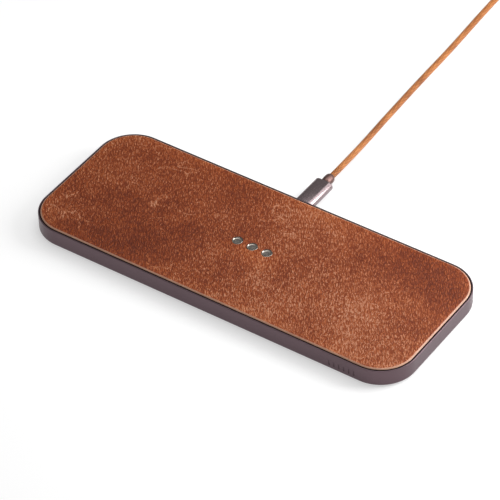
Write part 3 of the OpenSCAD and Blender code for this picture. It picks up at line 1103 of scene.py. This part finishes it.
def relief_shape(length):
    """The barrel behind the shell, turned round Y, with a small collar at the cord."""
    widest = 2.9 * MM
    reach = 0.876
    fullness = 3
    stations = 14
    mouth_radius = cord_radius + 0.05 * MM
    section = []
    for k in range(stations + 1):
        t = reach * (2 * k / stations - 1)
        section.append((
            widest * (1 - abs(t) ** fullness) ** (1 / fullness), length * k / stations))
    section += [(mouth_radius, length), (mouth_radius, length - 0.6 * MM)]
    return stacked([
        [(x, y, z) for x, z in circle(Vector((0, 0)), radius, 48)] for radius, y in section
    ])


# %% Place the plugs
shell_low, shell_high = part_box("plug_shell")
shell_length = shell_high.y - shell_low.y
relief_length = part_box("plug_relief")[1].y - shell_high.y
at_port = Matrix.Translation((0, shell_low.y, (shell_low.z + shell_high.z) / 2))
far_low, far_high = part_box("far_plug_shell")
at_far_end = Matrix.Translation((
    far_high.x, (far_low.y + far_high.y) / 2, (far_low.z + far_high.z) / 2,
)) @ Matrix.Rotation(math.radians(90), 4, "Z")
plug_places = {"plug": at_port, "far_plug": at_far_end}


def placed(name, shape, where, material):
    points, faces = shape
    return make_piece(name, [where @ Vector(p) for p in points], faces, material, smooth_below=35)


relief_metal = anodised("relief_metal", (0.15, 0.085, 0.075), 0.42)
shell_metal = anodised("shell_metal", (0.25, 0.195, 0.202), 0.22)
bright_steel = turned_metal("bright_steel", (0.66, 0.65, 0.63), 0.24)
plug_pieces = {}
for plug, where in plug_places.items():
    plug_pieces[plug] = {
        "shell": placed(
            plug + "_shell_metal",
            shell_shape(shell_high.x - shell_low.x, shell_high.z - shell_low.z, shell_length),
            where, shell_metal),
        "relief": placed(
            plug + "_relief_barrel", relief_shape(relief_length),
            where @ Matrix.Translation((0, shell_length, 0)), relief_metal),
        "nose": placed(plug + "_nose_steel", nose_shape(), where, bright_steel),
    }
print("plug shell length", round(shell_length, 4), "relief", round(relief_length, 4))

# %% [markdown]
# ## Contacts
# Inside the nose and on the socket's tongue lie rows of twelve gold-plated strips, half
# a millimetre apart, above and below. A row of equal things is what Geometry Nodes do
# best: a line of points, a strip on each, and a second row below the first.

# %% Gold strips
gold = turned_metal("gold_plate", (0.83, 0.58, 0.22), 0.25)


def make_contacts(name, centre, spread, length, turn=0.0):
    """Two rows of strips along their plug's axis, spread apart in height."""
    sizes = {
        "Count": 12, "Pitch": 0.5 * MM, "Strip": (0.28 * MM, length, 0.06 * MM),
        "Spread": spread, "Centre": tuple(centre), "Turn": turn, "Material": gold,
    }
    graph, size = new_tree(name, sizes)
    step = graph.vector(X=size["Pitch"])
    half_row = graph.vector_math("SCALE", {0: step, "Scale": (1 - size["Count"]) * 0.5})
    strip = graph.add("GeometryNodeMeshCube", None, {"Size": size["Strip"]})
    rows = []
    for share in (0.5, -0.5):
        start = graph.vector_math("ADD", {0: half_row, 1: graph.vector(Z=size["Spread"] * share)})
        line = graph.add("GeometryNodeMeshLine", {"mode": "OFFSET"}, {
            "Count": size["Count"], "Start Location": start, "Offset": step})
        rows.append(copies_on(graph, line, strip))
    in_place = graph.add("GeometryNodeTransform", None, {
        "Geometry": join_shapes(graph, rows), "Translation": size["Centre"],
        "Rotation": graph.vector(Z=size["Turn"])})
    close_tree(graph, in_place, size["Material"])
    return grow(name, graph, sizes)


strip_length = 3.6 * MM
for plug, where in plug_places.items():
    middle = where @ Vector((0, -3.4 * MM, 0))
    turn = where.to_euler().z
    plug_pieces[plug]["contacts"] = make_contacts(
        plug + "_contacts", middle, 1.05 * MM, strip_length, turn)
tongue_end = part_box("socket_insert")[1]
socket_z = (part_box("socket_insert")[0].z + tongue_end.z) / 2
socket_contacts = make_contacts(
    "socket_contacts", (0, tongue_end.y - 2.3 * MM, socket_z), 0.7 * MM, strip_length)

# %% [markdown]
# ## The strap round the coil
# A strip of brown hook-and-loop tape, 10 mm wide, goes once round the wound cord and
# laps over itself on top. It is lofted as a flat band along a rounded box, and the last
# part runs on above the first.

# %% Strap
def strap_path():
    """(across, height) points of the band's middle line, from the lap's inner end round."""
    coil_low, coil_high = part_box("cord_coil")
    outer = (coil_high.x - coil_low.x) / 2
    inner = turn_radii[0] - cord_radius
    half = tie_thickness / 2
    left = inner - half
    right_side = outer + half
    bottom = half
    top = coil_high.z + half
    bend = 1.9 * MM
    middle = (left + right_side) / 2
    path = [(middle - 3 * MM, top)]
    path += arc((left + bend, top - bend), bend, 90, 180)
    path += arc((left + bend, bottom + bend), bend, 180, 270)
    path += arc((right_side - bend, bottom + bend), bend, 270, 360)
    path += arc((right_side - bend, top - bend + 0.25 * MM), bend, 0, 90)
    return path + [(middle + 2 * MM, top + 0.75 * MM), (left + 2.6 * MM, top + 0.95 * MM)]


def make_strap(material):
    half_band = 5 * MM
    rounded = 0.25 * MM
    half = tie_thickness / 2
    path = [Vector(p) for p in strap_path()]
    place = Matrix.Translation((coil_centre.x, coil_centre.y, 0)) @ Matrix.Rotation(
        math.radians(tie_angle), 4, "Z")
    edge = [
        (-half_band, -half + rounded), (-half_band + rounded, -half),
        (half_band - rounded, -half), (half_band, -half + rounded),
        (half_band, half - rounded), (half_band - rounded, half),
        (-half_band + rounded, half), (-half_band, half - rounded),
    ]
    rings = []
    for i, (across, height) in enumerate(path):
        ahead = path[min(i + 1, len(path) - 1)] - path[max(i - 1, 0)]
        normal = Vector((ahead.y, -ahead.x)).normalized()
        rings.append([
            (across + normal.x * out, sideways, height + normal.y * out) for sideways, out in edge
        ])
    points, faces = stacked(rings)
    return make_piece("cord_strap", [place @ Vector(p) for p in points], faces, material)


# %% Hook-and-loop tape
def looped_tape():
    """Brown hook-and-loop tape: a short dense pile."""
    material, graph = new_material("brown_strap")
    solid = graph.place()
    pile = graph.noise(solid, 0.4 * MM, detail=3, roughness=0.7)
    cloud = graph.noise(solid, 3 * MM, detail=2)
    colour = graph.ramp(0.6 * pile + 0.4 * cloud, [
        (0.3, (0.022, 0.014, 0.011)), (0.7, (0.075, 0.048, 0.036))])
    finish_material(
        graph, pile, 0.25 * MM, Base_Color=colour, Roughness=0.85,
        Sheen_Weight=0.4, Sheen_Roughness=0.5)
    return material


strap = make_strap(looped_tape())
print("strap:", len(strap.data.polygons), "faces")

# %% [markdown]
# ## Screws under the pad
# Six small pan-head screws hold the bottom cover. One head is turned and its cross cut
# out with two bars, and Geometry Nodes put a copy in every recess.

# %% Screws
def make_screws(material):
    cover_screw_low, cover_screw_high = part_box("cover_screws")
    head = 1.9 * MM
    edge = 0.3 * MM
    shank = 0.9 * MM
    spread_x = cover_screw_high.x - head
    spread_y = cover_screw_high.y - head
    face_z = cover_screw_low.z
    head_top = face_z + 0.7 * MM
    slot_turn = math.radians(20)
    section = [(0, face_z), (head * 0.55, face_z)]
    section += arc((head - edge, face_z + edge), edge, -90, 0, 5)
    section += [
        (head, head_top), (shank, head_top), (shank, cover_screw_high.z), (0, cover_screw_high.z)]
    screw = turned("one_screw", section, Vector((0, 0, 0)), material, steps=32)
    sizes = {
        "Screw": screw, "Columns": 3, "Rows": 2, "Size X": 2 * spread_x, "Size Y": 2 * spread_y,
        "Bar": (2.3 * MM, 0.42 * MM, 0.7 * MM), "Bar place": (0.0, 0.0, face_z),
        "Material": material,
    }
    graph, size = new_tree("cover_screws", sizes)
    one = graph.add("GeometryNodeObjectInfo", None, {"Object": size["Screw"]}, "Geometry")
    bars = [
        graph.add("GeometryNodeTransform", None, {
            "Geometry": graph.add("GeometryNodeMeshCube", None, {"Size": size["Bar"]}),
            "Translation": size["Bar place"], "Rotation": (0, 0, turn + slot_turn)})
        for turn in (0, math.pi / 2)
    ]
    slotted = cut_away(graph, one, join_shapes(graph, bars))
    grid = graph.add("GeometryNodeMeshGrid", None, {
        "Size X": size["Size X"], "Size Y": size["Size Y"],
        "Vertices X": size["Columns"], "Vertices Y": size["Rows"]})
    close_tree(graph, copies_on(graph, grid, slotted), size["Material"])
    piece = grow("cover_screws_turned", graph, sizes)
    bpy.data.objects.remove(screw)
    return piece


cover_steel = turned_metal("cover_steel", (0.5, 0.49, 0.48), 0.3)
cover_screws = make_screws(cover_steel)

# %% [markdown]
# ## The plain pieces
# The deck, the bottom cover, the grip ring and everything inside keep the shapes of the
# engineering model. Each gets its own finish: moulded plastic with a fine spark texture,
# silicone with a velvet touch, enamelled copper wire, sintered ferrite, a green board.

# %% Finishes of the plain pieces
def moulded(
        name, base, roughness, tooth_size=0.3 * MM, tooth_depth=0.02 * MM, vary=0.15, metallic=0.0):
    """One even material with a fine texture: plastic, silicone, ferrite, resin, wire."""
    material, graph = new_material(name)
    solid = graph.place()
    tooth = graph.noise(solid, tooth_size, detail=3, roughness=0.6)
    cloud = graph.noise(solid, 13 * MM, detail=3)
    shade = 0.5 + 0.9 * (cloud - 0.5) + 0.5 * (tooth - 0.5)
    colour = graph.mix(shade, shaded(base, 1 - vary), shaded(base, 1 + vary))
    finish_material(
        graph, tooth, tooth_depth, Base_Color=colour, Metallic=metallic,
        Roughness=roughness + 0.2 * (tooth - 0.5))
    return material


def circuit_board():
    """Green solder mask, glossy, with faint straight tracks showing through."""
    material, graph = new_material("board_green")
    solid = graph.place()
    tracks = graph.add(
        "ShaderNodeTexBrick", {"offset": 0.35},
        {"Vector": solid, "Scale": 1.0, "Brick Width": 9 * MM, "Row Height": 0.8 * MM,
         "Mortar Size": 0.12 * MM, "Color1": (0.012, 0.10, 0.045, 1),
         "Color2": (0.016, 0.12, 0.055, 1), "Mortar": (0.03, 0.19, 0.085, 1)}, "Color")
    dust = graph.noise(solid, 5 * MM, detail=3)
    colour = graph.mix(0.25 * dust, tracks, (0.02, 0.14, 0.07))
    finish_material(graph, dust, 0.01 * MM, Base_Color=colour, Roughness=0.25 + 0.15 * dust)
    return material


# %% Give every plain piece its finish
finishes = {
    moulded("black_plastic", (0.012, 0.011, 0.011), 0.55): ["top_plate"],
    moulded("cover_plastic", (0.017, 0.016, 0.017), 0.6, 0.45 * MM, 0.05 * MM): ["base_cover"],
    moulded("grey_silicone", (0.045, 0.045, 0.048), 0.75, 0.2 * MM): ["grip_ring"],
    moulded("ferrite", (0.045, 0.045, 0.05), 0.45, 0.5 * MM): [
        "ferrite_left", "ferrite_middle", "ferrite_right", "inductor_left", "inductor_right"],
    moulded("copper_wire", (0.62, 0.25, 0.09), 0.3, 0.25 * MM, 0.03 * MM, 0.2, 0.9): [
        "coil_left_outer", "coil_left_inner", "coil_middle", "coil_right_inner",
        "coil_right_outer", "coil_leads"],
    moulded("ivory_plastic", (0.62, 0.58, 0.48), 0.5): ["coil_carrier"],
    moulded("chip_black", (0.016, 0.016, 0.018), 0.45, 0.2 * MM, 0.01 * MM): [
        "controller_left", "controller_right", "bridge_chips"],
    moulded("capacitor_tan", (0.42, 0.31, 0.17), 0.4, 0.2 * MM, 0.01 * MM): [
        "tuning_capacitors"],
    moulded("blue_resin", (0.03, 0.13, 0.42), 0.25, 0.5 * MM): ["thermal_sensors"],
    moulded("contact_plastic", (0.012, 0.012, 0.013), 0.4, 0.2 * MM, 0.01 * MM): [
        "socket_insert", "plug_insert", "far_plug_insert"],
    circuit_board(): ["main_board"],
    cover_steel: ["board_screws"],
    bright_steel: ["socket_shell"],
}
for material, nodes in finishes.items():
    for node in nodes:
        node_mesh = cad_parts[node].data
        node_mesh.materials.clear()
        node_mesh.materials.append(material)
print("finished", sum(len(nodes) for nodes in finishes.values()), "carried-over pieces")

# %% [markdown]
# ## What moves with what
# The plug and its lead slide out of the port together. Everything else belongs to the
# pad. Each piece is put on the body it rides on, and the plain pieces it stands for are
# hidden.

# %% Ride and replace
def join_model(piece, body, slot, *nodes):
    """Puts a piece on the body it rides on and hides the plain pieces it replaces; slot, its finish
    in the parts list, is not used.
    """
    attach(piece, body)
    if nodes:
        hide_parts(*nodes)


join_model(leather, "pad", "tan_leather", "leather_top")
join_model(frame_ring, "pad", "brown_anodised", "frame")
for stud, node in zip(studs, stud_names):
    join_model(stud, "pad", "stud_metal", node)
join_model(cover_screws, "pad", "steel", "cover_screws")
join_model(socket_contacts, "pad", "copper")
join_model(cord, "cable", "tan_braid", "cord_lead", "cord_coil", "cord_tail")
join_model(strap, "cable", "brown_strap", "cord_tie")
for plug, made in plug_pieces.items():
    join_model(made["shell"], "cable", "brown_anodised", plug + "_shell")
    join_model(made["relief"], "cable", "relief_metal", plug + "_relief")
    join_model(made["nose"], "cable", "bright_steel", plug + "_nose")
    join_model(made["contacts"], "cable", "copper")

on_cord = [strap]
for made in plug_pieces.values():
    on_cord += made.values()
on_cord += [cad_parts["plug_insert"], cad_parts["far_plug_insert"]]

cut_wrap = (math.pi / 2 - 1) * leather_roll + leather_top_z - leather_roll - leather_skirt_z
cut_length = 2 * (half_length - leather_inset + cut_wrap)
cut_width = 2 * (half_width - leather_inset + cut_wrap)
cut_corner = corner_radius - leather_inset + cut_wrap
cut_area = cut_length * cut_width - (4 - math.pi) * cut_corner ** 2
print(f"leather cut: {cut_width:.4f} x {cut_length:.4f} m, {cut_area:.5f} m2")

# %% [markdown]
# ## Floor and light
# The pad lies on a plain pale table that glows a little by itself, as a light table does,
# so its shadows stay soft and pale. A large soft box overhead gives most of the light. A
# near one behind the right end draws the bright line along the rolled leather edge and
# the side of the plug, and a small one behind fills the leather's gloss.

# %% Floor
def make_floor():
    bpy.ops.mesh.primitive_plane_add(size=6)
    floor = bpy.context.object
    floor.name = "floor"
    material, graph = new_material("pale_table")
    solid = graph.place()
    cloud = graph.noise(solid, 0.4, detail=2)
    finish_material(
        graph, Base_Color=graph.mix(cloud, (0.54, 0.54, 0.54), (0.56, 0.56, 0.56)), Roughness=0.9,
        Specular_IOR_Level=0.1, Emission_Color=(1, 1, 1, 1), Emission_Strength=0.52)
    floor.data.materials.append(material)
    return floor


print("floor:", tuple(make_floor().dimensions))


# %% Lights
def soft_box(name, place, target, size, power):
    """A rectangular white light at a place, facing a target."""
    light = bpy.data.lights.new(name, "AREA")
    light.shape = "RECTANGLE"
    light.size, light.size_y = size
    light.energy = power
    holder = add_object(name, light)
    away = Vector(place) - Vector(target)
    holder.location = place
    holder.rotation_euler = away.to_track_quat("Z", "Y").to_euler()
    print(f"{name}: {power} W, {away.length:.2f} m away")


soft_box("top_light", place=(0.0, 0.3, 1.15), target=(0, 0, 0), size=(1.0, 1.0), power=7.2)
soft_box("right_light", place=(0.37, 0.27, 0.25), target=(0, 0, 0), size=(0.30, 0.38), power=3.0)
soft_box("back_light", place=(0.12, 0.40, 0.36), target=(0.06, 0, 0), size=(0.3, 0.2), power=0.4)
world = bpy.data.worlds.new("studio")
world.use_nodes = True
background = world.node_tree.nodes["Background"]
background.inputs["Color"].default_value = (1, 1, 1, 1)
background.inputs["Strength"].default_value = 0.2
bpy.context.scene.world = world
bpy.context.scene.view_settings.view_transform = "Standard"
